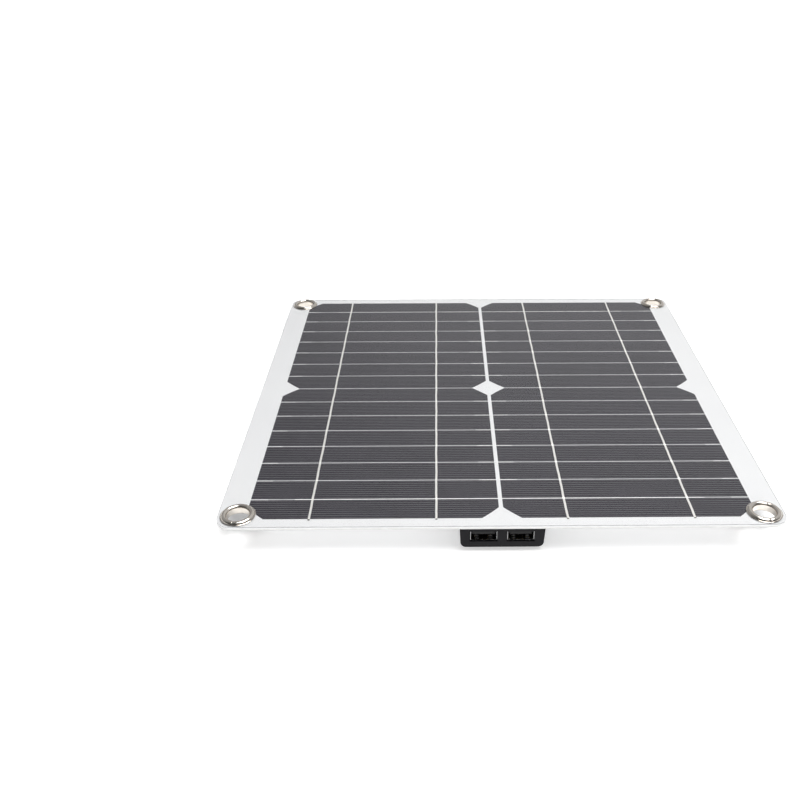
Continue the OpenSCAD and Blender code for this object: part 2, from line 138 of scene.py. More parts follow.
class Shader:
    """One node material, with short ways to the nodes that the finishes use."""

    def __init__(self, name: str) -> None:
        """Makes an empty node material.

        Args:
            name: Name of the material.
        """
        self.material = bpy.data.materials.new(name)
        self.material.use_nodes = True
        self.tree = self.material.node_tree
        self.tree.nodes.clear()

    @classmethod
    def on_tree(cls, tree: bpy.types.NodeTree) -> "Shader":
        """Wraps an existing node tree, such as a world's, after emptying it.

        Args:
            tree: The node tree.

        Returns:
            The wrapper.
        """
        made = cls.__new__(cls)
        made.tree = tree
        tree.nodes.clear()
        return made

    def node(
        self,
        kind: str,
        settings: Optional[dict[str, Any]] = None,
        inputs: Optional[dict[Union[int, str], Any]] = None,
        output: Union[int, str] = 0,
    ) -> Value:
        """Adds any node.

        Args:
            kind: The node's type.
            settings: Its properties, set before its sockets; "stops" are a ramp's stops.
            inputs: Values or links of its input sockets, by name or number.
            output: The output to return, by name or number.

        Returns:
            The chosen output.
        """
        made = self.tree.nodes.new(kind)
        for key, setting in (settings or {}).items():
            if key == "stops":
                self._set_stops(made.color_ramp, setting)
            else:
                setattr(made, key, setting)
        for key, entry in (inputs or {}).items():
            if isinstance(entry, Value):
                self.tree.links.new(entry.socket, made.inputs[key])
            else:
                made.inputs[key].default_value = entry
        return Value(self, made.outputs[output])

    @staticmethod
    def _set_stops(ramp: bpy.types.ColorRamp, stops: Stops) -> None:
        """Gives a ramp its stops.

        Args:
            ramp: The ramp.
            stops: Position and grey level of each stop.
        """
        while len(ramp.elements) < len(stops):
            ramp.elements.new(1.0)
        for element, (place, level) in zip(ramp.elements, stops):
            element.position = place
            element.color = (level, level, level, 1.0)

    def math(self, operation: str, *values: Number) -> Value:
        """Adds a Math node and returns its result."""
        return self.node("ShaderNodeMath", {"operation": operation}, dict(enumerate(values)))

    def position(self) -> Value:
        """Object coordinates, which are the CAD frame in metres."""
        return self.node("ShaderNodeTexCoord", output="Object")

    def along(self, vector: Value, axis: Axis) -> Value:
        """One axis of a vector."""
        return self.node("ShaderNodeSeparateXYZ", inputs={0: vector}, output=axis.value)

    def stretched(self, vector: Value, scale: Triple) -> Value:
        """A vector with each axis multiplied."""
        return self.node("ShaderNodeMapping", inputs={"Vector": vector, "Scale": scale})

    def noise(self, vector: Value, size: float, detail: float = 2.0) -> Value:
        """Soft noise from 0 to 1, in patches of a size in metres."""
        inputs = {"Vector": vector, "Scale": 1.0 / size, "Detail": detail, "Roughness": 0.55}
        return self.node("ShaderNodeTexNoise", inputs=inputs)

    def ramp(self, value: Value, stops: Stops) -> Value:
        """A value passed through a ramp of grey stops."""
        return self.node("ShaderNodeValToRGB", {"stops": stops}, {0: value})

    def ease(self, value: Value, span: Span, levels: Span) -> Value:
        """A value eased from one level to another.

        Args:
            value: The value.
            span: Where the change starts and ends.
            levels: The level before the span and after it.

        Returns:
            The eased level.
        """
        inputs = {"Value": value, "From Min": span[0], "From Max": span[1],
                  "To Min": levels[0], "To Max": levels[1]}
        return self.node("ShaderNodeMapRange", {"interpolation_type": "SMOOTHSTEP"}, inputs)

    def blend(self, factor: Value, first: Any, second: Any) -> Value:
        """Mixes two colours: the first where the factor is 0, the second where it is 1."""
        inputs = {0: factor, 6: self._rgba(first), 7: self._rgba(second)}
        return self.node("ShaderNodeMix", {"data_type": "RGBA"}, inputs, output=2)

    @staticmethod
    def _rgba(color: Any) -> Any:
        """A plain colour with its alpha added; a value as it is."""
        return color if isinstance(color, Value) else (*color, 1.0)

    def bump(self, height: Value, depth: float) -> Value:
        """Normal of a surface with relief from 0 to 1, which is a depth in metres deep."""
        return self.node("ShaderNodeBump", inputs={"Distance": depth, "Height": height})

    def principled(self, **sockets: Any) -> Value:
        """Adds a Principled shader.

        Args:
            **sockets: Values or links of its sockets, named with underscores.

        Returns:
            The shader.
        """
        titles = {key: key.replace("_", " ").title().replace("Ior", "IOR") for key in sockets}
        inputs = {titles[key]: entry for key, entry in sockets.items()}
        return self.node("ShaderNodeBsdfPrincipled", inputs=inputs)

    def finish(self, surface: Value) -> bpy.types.Material:
        """Links a surface to the material's output.

        Args:
            surface: The shader that the surface shows.

        Returns:
            The material.
        """
        output = self.tree.nodes.new("ShaderNodeOutputMaterial")
        self.tree.links.new(surface.socket, output.inputs["Surface"])
        return self.material


# ---- Finishes ----


class Grain(Enum):
    """How a finish's fine relief runs, as the stretch of its noise along X, Y and Z."""

    EVEN = (1.0, 1.0, 1.0)
    DRAWN_ALONG_Y = (1.0, 0.06, 1.0)
    DRAWN_ALONG_X = (0.06, 1.0, 1.0)
    ROUND_THE_RING = (1.0, 1.0, 0.12)
    LAYERED = (0.25, 0.25, 3.0)


@dataclass(frozen=True)
class Solid:
    """A finish of one stuff, whose colour, gloss and relief vary from place to place."""

    name: str
    color: Triple
    drift: Triple
    roughness: float
    roughness_spread: float = 0.08
    metallic: float = 0.0
    specular: float = 0.5
    patch_mm: float = 18.0
    grain: Grain = Grain.EVEN
    grain_mm: float = 0.5
    grain_depth_mm: float = 0.01
    fine_share: float = 0.25

    def build(self) -> bpy.types.Material:
        """Makes the material.

        Returns:
            The material.
        """
        shader = Shader(self.name)
        place = shader.position()
        patches = shader.noise(place, self.patch_mm * MM, 3.0)
        along_grain = shader.stretched(place, self.grain.value)
        fine = shader.noise(along_grain, self.grain_mm * MM, 3.0)
        mixed = patches * (1.0 - self.fine_share) + fine * self.fine_share
        tone = shader.ramp(mixed, NOISE_SPREAD)
        wear = (fine + patches - 1.0) * self.roughness_spread + self.roughness
        return shader.finish(
            shader.principled(
                base_color=shader.blend(tone, self.color, self.drift),
                roughness=wear,
                metallic=self.metallic,
                specular_ior_level=self.specular,
                normal=shader.bump(fine, self.grain_depth_mm * MM),
            )
        )


@dataclass(frozen=True)
class ClearSheet:
    """A clear layer: it shows what lies under it, with gloss on its outer face and haze in it."""

    name: str
    gloss: bool
    haze: float
    haze_color: Triple
    edge_haze: float
    roughness: float = 0.13
    cloud_roughness: float = 0.05
    index: float = 1.45
    cloud_size: float = 9 * MM
    ripple_size: float = 45 * MM
    ripple_depth: float = 0.03 * MM

    def build(self) -> bpy.types.Material:
        """Makes the material.

        Returns:
            The material.
        """
        shader = Shader(self.name)
        place = shader.position()
        clouds = shader.noise(place, self.cloud_size)
        ripple = shader.noise(place, self.ripple_size, 0.0)
        clear = shader.node("ShaderNodeBsdfTransparent")
        milk = shader.node("ShaderNodeBsdfDiffuse", inputs={"Color": (*self.haze_color, 1.0)})
        facing = shader.node("ShaderNodeNewGeometry", output="True Normal")
        flat = abs(shader.along(facing, Axis.Z)) > 0.5
        cloudy = (clouds * 2.0) * self.haze * flat + (1.0 - flat) * self.edge_haze
        body = shader.node("ShaderNodeMixShader", inputs={0: cloudy, 1: clear, 2: milk})
        if not self.gloss:
            return shader.finish(body)
        shine = shader.node(
            "ShaderNodeBsdfGlossy",
            inputs={
                "Color": (1.0, 1.0, 1.0, 1.0),
                "Roughness": clouds * self.cloud_roughness + self.roughness,
                "Normal": shader.bump(ripple, self.ripple_depth),
            },
        )
        inside = shader.node("ShaderNodeNewGeometry", output="Backfacing")
        mirror = shader.node("ShaderNodeFresnel", inputs={"IOR": self.index})
        outer = mirror * (1.0 - inside)
        return shader.finish(
            shader.node("ShaderNodeMixShader", inputs={0: outer, 1: body, 2: shine})
        )


@dataclass(frozen=True)
class Silicon:
    """Textured monocrystalline silicon with its printed silver fingers."""

    name: str
    color: Triple = (0.007, 0.0055, 0.012)
    drift: Triple = (0.014, 0.012, 0.020)
    spread: Stops = ((0.35, 0.0), (0.65, 1.0))
    finger_color: Triple = (0.115, 0.112, 0.124)
    finger_pitch: float = 1.72 * MM
    finger_width: float = 0.40 * MM
    finger_height: float = 0.002 * MM
    patch_size: float = 22 * MM
    patch_stretch: Triple = (0.6, 1.0, 1.0)
    streak_size: float = 4 * MM
    streak_stretch: Triple = (0.15, 1.0, 1.0)
    streak_share: float = 0.3
    print_size: float = 3 * MM
    roughness: float = 0.5
    specular: float = 0.2

    def build(self) -> bpy.types.Material:
        """Makes the material.

        Returns:
            The material.
        """
        shader = Shader(self.name)
        place = shader.position()
        wide = shader.stretched(place, self.patch_stretch)
        patches = shader.noise(wide, self.patch_size, 4.0)
        streaks = shader.noise(shader.stretched(place, self.streak_stretch), self.streak_size)
        mixed = patches * (1.0 - self.streak_share) + streaks * self.streak_share
        tone = shader.ramp(mixed, self.spread)
        depth = shader.along(place, Axis.Y)
        in_strip = ((depth / STRIP_PITCH).cell() - 0.5) * STRIP_PITCH
        off_finger = abs((in_strip / self.finger_pitch + 0.5).cell() - 0.5)
        half = 0.5 * self.finger_width / self.finger_pitch
        finger = shader.ramp(off_finger, ((0.4 * half, 1.0), (1.6 * half, 0.0)))
        printed = finger * (shader.noise(place, self.print_size) * 0.6 + 0.6)
        ground = shader.blend(tone, self.color, self.drift)
        return shader.finish(
            shader.principled(
                base_color=shader.blend(printed, ground, self.finger_color),
                roughness=self.roughness - 0.12 * finger + 0.1 * streaks,
                specular_ior_level=self.specular,
                normal=shader.bump(finger, self.finger_height),
            )
        )


@dataclass(frozen=True)
class WhiteFill:
    """White encapsulant, with painted shade where it only shows through a narrow gap."""

    name: str
    color: Triple
    drift: Triple
    # Painted shade: the grey of the encapsulant where it shows through a narrow gap between
    # strips
    gap_color: Triple = (0.52, 0.52, 0.535)
    shaded_width: float = 0.902 * MM  # A little more than a gap
    column_x: float = 63.55 * MM
    reach: float = 53.8 * MM  # From the column's middle, short of the cut corners
    last_gap: float = 120.0 * MM
    patch_size: float = 30 * MM
    skin_size: float = 3 * MM
    skin_depth: float = 0.002 * MM

    def build(self) -> bpy.types.Material:
        """Makes the material.

        Returns:
            The material.
        """
        shader = Shader(self.name)
        place = shader.position()
        patches = shader.noise(place, self.patch_size, 3.0)
        skin = shader.noise(place, self.skin_size)
        tone = shader.ramp(patches, NOISE_SPREAD)
        depth = shader.along(place, Axis.Y)
        from_strip = abs((depth / STRIP_PITCH).cell() - 0.5)
        shaded_gap = from_strip > 0.5 - 0.5 * self.shaded_width / STRIP_PITCH
        from_column = abs(abs(shader.along(place, Axis.X)) - self.column_x)
        outside = (from_column > self.reach) + (abs(depth) > self.last_gap)
        beside = 1.0 - (outside > 0.5)
        open_tone = shader.blend(tone, self.color, self.drift)
        return shader.finish(
            shader.principled(
                # Painted shade on the gaps between strips, away from the middle gap, the cut
                # corners and the ends
                base_color=shader.blend(shaded_gap * beside, open_tone, self.gap_color),
                roughness=0.4 + 0.1 * skin,
                normal=shader.bump(skin, self.skin_depth),
            )
        )


@dataclass(frozen=True)
class CircuitLaminate:
    """Green circuit board with copper tracks under its solder mask."""

    name: str
    mask: Triple = (0.012, 0.09, 0.035)
    track: Triple = (0.03, 0.16, 0.06)
    track_width: float = 0.25 * MM
    field_width: float = 5.2 * MM
    field_depth: float = 2.1 * MM
    copper_height: float = 0.03 * MM
    weave_size: float = 1.5 * MM

    def build(self) -> bpy.types.Material:
        """Makes the material.

        Returns:
            The material.
        """
        shader = Shader(self.name)
        place = shader.position()
        tracks = shader.node(
            "ShaderNodeTexBrick",
            {"offset": 0.35, "squash": 0.6},
            {
                "Vector": place,
                "Scale": 1.0,
                "Mortar Size": self.track_width,
                "Brick Width": self.field_width,
                "Row Height": self.field_depth,
            },
            output="Fac",
        )
        return shader.finish(
            shader.principled(
                base_color=shader.blend(tracks, self.mask, self.track),
                roughness=0.3 + 0.15 * shader.noise(place, self.weave_size),
                normal=shader.bump(tracks, self.copper_height),
            )
        )


@dataclass(frozen=True)
class Floor:
    """Pale studio table with a faint painted glow, so that what stands on it throws a faint
    shadow.
    """

    name: str = "studio_floor"
    level: float = 0.86
    mottle: float = 0.985
    mottle_size: float = 0.4
    under_glow: float = 0.1
    near_glow: float = 0.48
    far_glow: float = 0.8
    corner: Span = (0.130, 0.108)  # Middle of the painted shadow pool under each eyelet
    pool: Span = (0.006, 0.022)
    away: Span = (0.3, 1.2)

    def build(self) -> bpy.types.Material:
        """Makes the material.

        Returns:
            The material.
        """
        shader = Shader(self.name)
        place = shader.position()
        patches = shader.noise(place, self.mottle_size)
        tone = shader.blend(patches, (self.level,) * 3, (self.mottle * self.level,) * 3)
        across, depth = abs(shader.along(place, Axis.X)), abs(shader.along(place, Axis.Y))
        # Painted shadow: the glow drops to under_glow in a pool round each eyelet, under the
        # sheet
        off_x, off_y = across - self.corner[0], depth - self.corner[1]
        off_corner = shader.math("SQRT", off_x * off_x + off_y * off_y)
        outside_pool = shader.ease(off_corner, self.pool, (0.0, 1.0))
        away = shader.ease(shader.math("MAXIMUM", across, depth), self.away, (0.0, 1.0))
        near = shader.blend(outside_pool, (self.under_glow,) * 3, (self.near_glow,) * 3)
        glow = shader.blend(away, near, (self.far_glow,) * 3)
        return shader.finish(
            shader.principled(
                base_color=tone,
                roughness=0.8,
                specular_ior_level=0.1,
                emission_color=glow,
                emission_strength=1.0,
            )
        )


class Finishes:
    """Every material of the panel, by the record's slot that it finishes."""

    def __init__(self) -> None:
        """Builds the materials."""
        made = [
            ClearSheet("clear_film", True, 0.002, (0.35, 0.35, 0.36), 0.9),
            ClearSheet("clear_encapsulant", False, 0.003, (0.3, 0.3, 0.31), 0.9),
            Silicon("silicon"),
            CircuitLaminate("circuit_laminate"),
            Solid("tinned_ribbon", (0.78, 0.77, 0.74), (0.86, 0.85, 0.82), 0.38, 0.15, 0.55,
                  patch_mm=5, grain=Grain.DRAWN_ALONG_Y, grain_mm=0.25),
            Solid("solder_bead", (0.84, 0.84, 0.84), (0.92, 0.92, 0.92), 0.42, 0.15, 0.15,
                  patch_mm=6, grain=Grain.DRAWN_ALONG_X, grain_mm=0.3, grain_depth_mm=0.02),
            # Solder at the ribbons' ends, darkened as painted shade where the ribbons bend down
            # past the cell edge
            Solid("solder_painted_shade", (0.07, 0.07, 0.07), (0.13, 0.125, 0.12), 0.5, 0.2, 0.3,
                  patch_mm=1, grain_mm=0.3, grain_depth_mm=0.03),
            WhiteFill("white_encapsulant", (0.81, 0.815, 0.82), (0.79, 0.795, 0.805)),
            Solid("fibre_board", (0.80, 0.80, 0.79), (0.72, 0.72, 0.70), 0.6, 0.1,
                  patch_mm=6, grain=Grain.LAYERED, grain_mm=0.35, grain_depth_mm=0.02),
            # Darkened from white as painted shade, for the shadowed line along the sheet's bottom
            # edge
            Solid("white_backsheet", (0.52, 0.52, 0.525), (0.46, 0.465, 0.47), 0.5, 0.12,
                  patch_mm=25, grain_mm=0.9, grain_depth_mm=0.03),
            Solid("nickel_plate", (0.72, 0.68, 0.63), (0.62, 0.575, 0.52), 0.13, 0.06, 1.0,
                  patch_mm=4, grain=Grain.ROUND_THE_RING, grain_mm=0.9, grain_depth_mm=0.001),
            Solid("foam_adhesive", (0.05, 0.05, 0.052), (0.08, 0.08, 0.082), 0.9, 0.05,
                  patch_mm=4, grain_mm=0.35, grain_depth_mm=0.08),
            Solid("black_plastic", (0.0058, 0.0055, 0.007), (0.0085, 0.0082, 0.0102), 0.5, 0.12,
                  specular=0.14, patch_mm=14, grain_mm=0.22, grain_depth_mm=0.012),
            Solid("socket_steel", (0.50, 0.50, 0.50), (0.40, 0.40, 0.41), 0.26, 0.1, 1.0,
                  patch_mm=3, grain=Grain.DRAWN_ALONG_X, grain_mm=0.2, grain_depth_mm=0.003),
            Solid("socket_insulator", (0.009, 0.009, 0.0095), (0.013, 0.013, 0.0135), 0.42, 0.1,
                  specular=0.2, patch_mm=5, grain_mm=0.2),
            Solid("gold_plate", (0.86, 0.62, 0.25), (0.76, 0.52, 0.20), 0.22, 0.08, 1.0,
                  patch_mm=2, grain=Grain.DRAWN_ALONG_Y, grain_mm=0.15, grain_depth_mm=0.002),
            Solid("ferrite", (0.10, 0.10, 0.105), (0.15, 0.15, 0.155), 0.65, 0.12,
                  patch_mm=3, grain_mm=0.3, grain_depth_mm=0.03),
            Solid("capacitor_can", (0.70, 0.70, 0.71), (0.58, 0.58, 0.60), 0.3, 0.1, 1.0,
                  patch_mm=3, grain=Grain.ROUND_THE_RING, grain_mm=0.3, grain_depth_mm=0.004),
            Solid("component_resin", (0.018, 0.018, 0.02), (0.03, 0.03, 0.032), 0.55, 0.1,
                  patch_mm=2, grain_mm=0.15),
            Solid("lead_insulation", (0.35, 0.02, 0.02), (0.45, 0.04, 0.03), 0.45, 0.1,
                  patch_mm=4, grain_mm=0.4),
        ]
        self._materials = {finish.name: finish.build() for finish in made}

    def __getitem__(self, name: str) -> bpy.types.Material:
        """The material of one finish."""
        return self._materials[name]

    def dress(self, names: dict[str, str]) -> None:
        """Puts finishes on CAD nodes.

        Args:
            names: The finish's name for each node's name.
        """
        for node, name in names.items():
            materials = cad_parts[node].data.materials
            if not materials:
                materials.append(self[name])
            for index in range(len(materials)):
                materials[index] = self[name]
            LOG.info("%s: dressed in %s", node, name)


# ---- Mesh helpers ----


class Piece:
    """A bmesh that becomes one shown object, riding on the panel's body."""

    def __init__(self, name: str) -> None:
        """Starts an empty piece.

        Args:
            name: The object's name.
        """
        self.name = name
        self.mesh = bmesh.new()

    def take(self, other: bmesh.types.BMesh, at: Optional[Matrix] = None) -> None:
        """Adds another bmesh's geometry, and frees that bmesh.

        Args:
            other: The bmesh to add.
            at: Where it goes; as it is if left out.
        """
        if at is not None:
            bmesh.ops.transform(other, matrix=at, verts=other.verts)
        held = bpy.data.meshes.new("held")
        other.to_mesh(held)
        other.free()
        self.mesh.from_mesh(held)
        bpy.data.meshes.remove(held)

    def show(
        self, finishes: Finishes, slot: str, stands_for: str = "", finish: str = ""
    ) -> None:
        """Makes the object.

        Args:
            finishes: The panel's materials.
            slot: The record's material slot that it takes its finish from.
            stands_for: The CAD node that it replaces.
            finish: Its finish, where that has another name than the slot.
        """
        self._smooth()
        data = bpy.data.meshes.new(self.name)
        self.mesh.to_mesh(data)
        self.mesh.free()
        data.materials.append(finishes[finish or slot])
        made = bpy.data.objects.new(self.name, data)
        bpy.context.scene.collection.objects.link(made)
        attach(made, "root")
        if stands_for:
            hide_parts(stands_for)
        LOG.info("%s: %d faces, for %s", self.name, len(data.polygons), stands_for or "no node")

    def _smooth(self) -> None:
        """Smooths the shading except across sharp edges."""
        self.mesh.normal_update()
        for face in self.mesh.faces:
            face.smooth = True
        for edge in self.mesh.edges:
            edge.smooth = len(edge.link_faces) == 2 and edge.calc_face_angle(0.0) < SHARP


def block(size: Vector, centre: Vector) -> bmesh.types.BMesh:
    """A box-shaped bmesh.

    Args:
        size: Its width, depth and height.
        centre: Its middle.

    Returns:
        The new bmesh.
    """
    work = bmesh.new()
    bmesh.ops.create_cube(work, size=1.0)
    bmesh.ops.scale(work, vec=size, verts=work.verts)
    bmesh.ops.translate(work, vec=centre, verts=work.verts)
    return work


def bevel_edges(
    work: bmesh.types.BMesh,
    chosen: Callable[[bmesh.types.BMEdge], bool],
    width: float,
    segments: int,
) -> None:
    """Rounds the chosen edges of a bmesh.

    Args:
        work: The bmesh.
        chosen: Says whether an edge is rounded.
        width: Width of the rounding.
        segments: Number of faces across it.
    """
    bmesh.ops.bevel(
        work,
        geom=[edge for edge in work.edges if chosen(edge)],
        offset=width,
        offset_type="OFFSET",
        segments=segments,
        profile=0.5,
        affect="EDGES",
        material=-1,
    )


def level(item: Union[bmesh.types.BMEdge, bmesh.types.BMFace], axis: Axis, place: float) -> bool:
    """Whether an edge or face lies in the plane across an axis at a place."""
    return all(abs(vert.co[axis.value] - place) < NEAR for vert in item.verts)


# ---- Laminate ----


def strip_node(side: Side, number: int) -> str:
    """Name of a strip's node, counted from the back edge."""
    return f"cell_{side}_{number:02d}"


@dataclass
class Laminate:
    """The sheet: its clear layers, cells, buses, board and backsheet, all CAD nodes."""

    finishes: Finishes
    clearance: float = 0.01 * MM

    def build(self) -> None:
        """Builds the clear layer and dresses every other node of the sheet."""
        self._clear_layer()
        self.finishes.dress({
            "front_film": "clear_film",
            "cross_links": "solder_bead",
            "bus_ribbon_far": "solder_bead",
            "bus_ribbon_near": "solder_bead",
            "return_ribbon": "tinned_ribbon",
            "rear_encapsulant": "white_encapsulant",
            "base_board": "fibre_board",
            "backsheet": "white_backsheet",
            "eyelet_washers": "nickel_plate",
        })
        numbers = range(1, STRIPS + 1)
        self.finishes.dress(
            {strip_node(side, number): "silicon" for side in Side for number in numbers}
        )

    def _clear_layer(self) -> None:
        """Builds the clear encapsulant as one smooth layer with the film's outline and holes."""
        foot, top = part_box("front_encapsulant")
        middle = sum(corner.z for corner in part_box("front_film")) / 2
        work = bmesh.new()
        work.from_mesh(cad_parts["front_film"].data)
        bmesh.ops.remove_doubles(work, verts=work.verts, dist=SAME)
        for vert in work.verts:
            vert.co.z = top.z - self.clearance if vert.co.z > middle else foot.z + self.clearance
        piece = Piece("clear_layer")
        piece.take(work)
        piece.show(self.finishes, "clear_encapsulant", "front_encapsulant")


# ---- Ribbons ----


@dataclass
class Ribbons:
    """Tabbing ribbons that run over each strip and dip through the gap to the next one."""

    finishes: Finishes
    width: float = 1.1 * MM
    thickness: float = 0.12 * MM
    sway: float = 0.11 * MM
    waves: tuple[Span, ...] = ((31 * MM, 0.55), (12.7 * MM, 0.3), (5.3 * MM, 0.15))
    steps: int = 44
    marks: tuple[float, ...] = (0.0, 0.5, 0.8, 1.0)  # Shares of its steps round its dip
    off_strip: float = 0.06 * MM
    off_next: float = 0.02 * MM
    under_reach: float = 3 * MM
    tail: float = 1.2 * MM
    tail_start: float = 0.1 * MM
    tail_drop: float = 0.6
    lump: Triple = (0.62 * MM, 0.5 * MM, 0.13 * MM)
    lump_place: float = 0.55
    lump_lift: float = 0.04 * MM

    def build(self) -> None:
        """Builds the ribbons of both columns and the solder at their front ends."""
        for side in Side:
            self._column(side)
            self._solder_tails(side)

    def _lines(self, side: Side) -> tuple[float, float]:
        """X of the two ribbon lines of a column."""
        low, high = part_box(f"string_ribbons_{side}")
        return low.x + self.width / 2, high.x - self.width / 2

    def _column(self, side: Side) -> None:
        """Builds one column's ribbons.

        Args:
            side: The side that it is on.
        """
        draw = random.Random(f"ribbons {side}")
        piece = Piece(f"ribbons_{side}")
        for x in self._lines(side):
            phases = [draw.uniform(0, math.tau) for _ in self.waves]
            for number in range(1, STRIPS + 1):
                piece.take(self._ribbon(side, number, x, phases))
        piece.show(self.finishes, "tinned_ribbon", f"string_ribbons_{side}")

    def _ribbon(
        self, side: Side, number: int, x: float, phases: list[float]
    ) -> bmesh.types.BMesh:
        """Builds the ribbon that starts on one strip.

        Args:
            side: The side that it is on.
            number: The strip, from the back edge.
            x: The ribbon line.
            phases: Starts of the waves that the ribbon sways in.

        Returns:
            The ribbon.
        """
        low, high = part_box(strip_node(side, number))
        top = high.z + self.thickness
        if number == STRIPS:
            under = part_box("bus_ribbon_near")[0].z + 2 * self.thickness
            drop_start, drop_end = low.y - self.tail_start, low.y - self.tail * self.tail_drop
            end = low.y - self.tail + self.thickness / 2
        else:
            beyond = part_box(strip_node(side, number + 1))
            under = beyond[0].z
            drop_start, drop_end = low.y + self.off_strip, beyond[1].y - self.off_next
            end = beyond[1].y - (high.y - low.y) + self.under_reach
        work = bmesh.new()
        bmesh.ops.create_grid(work, x_segments=2, y_segments=self.steps, size=0.5)
        for vert in work.verts:
            across, share = vert.co.x, 0.5 - vert.co.y
            y = self._spaced(share, (high.y, drop_start, drop_end, end))
            fall = min(1.0, max(0.0, (drop_start - y) / (drop_start - drop_end)))
            fall = fall * fall * (3 - 2 * fall)
            vert.co = Vector((
                x + across * self.width + self._sway(y, phases),
                y,
                top + (under - top) * fall,
            ))
        bmesh.ops.solidify(work, geom=work.faces, thickness=self.thickness)
        bmesh.ops.recalc_face_normals(work, faces=work.faces)
        return work

    def _spaced(self, share: float, places: tuple[float, ...]) -> float:
        """Y at a share of the ribbon's length, with more steps where it dips.

        Args:
            share: From 0 at its start to 1 at its end.
            places: Y where it starts, where its dip starts and ends, and where it ends.

        Returns:
            The place along Y.
        """
        stops = list(zip(self.marks, places))
        for (a, ya), (b, yb) in zip(stops, stops[1:]):
            if share <= b:
                return ya + (yb - ya) * (share - a) / (b - a)
        return places[-1]

    def _sway(self, y: float, phases: list[float]) -> float:
        """How far the ribbon strays sideways.

        Args:
            y: The place along Y.
            phases: Start of each wave.

        Returns:
            The distance along X.
        """
        return self.sway * sum(
            share * math.sin(math.tau * y / length + phase)
            for (length, share), phase in zip(self.waves, phases)
        )

    def _solder_tails(self, side: Side) -> None:
        """Builds solder lumps in painted shade where a column's ribbons leave the front cell
        edge.

        Args:
            side: The side that it is on.
        """
        piece = Piece(f"solder_tails_{side}")
        low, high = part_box(strip_node(side, STRIPS))
        for x in self._lines(side):
            lump = bmesh.new()
            bmesh.ops.create_uvsphere(lump, u_segments=16, v_segments=8, radius=1.0)
            bmesh.ops.scale(lump, vec=self.lump, verts=lump.verts)
            centre = (x, low.y - self.tail * self.lump_place, high.z + self.lump_lift)
            bmesh.ops.translate(lump, vec=centre, verts=lump.verts)
            piece.take(lump)
        # Dark as painted shade where the ribbons bend down past the front cell edge
        piece.show(self.finishes, "tinned_ribbon", finish="solder_painted_shade")


# ---- Eyelets ----


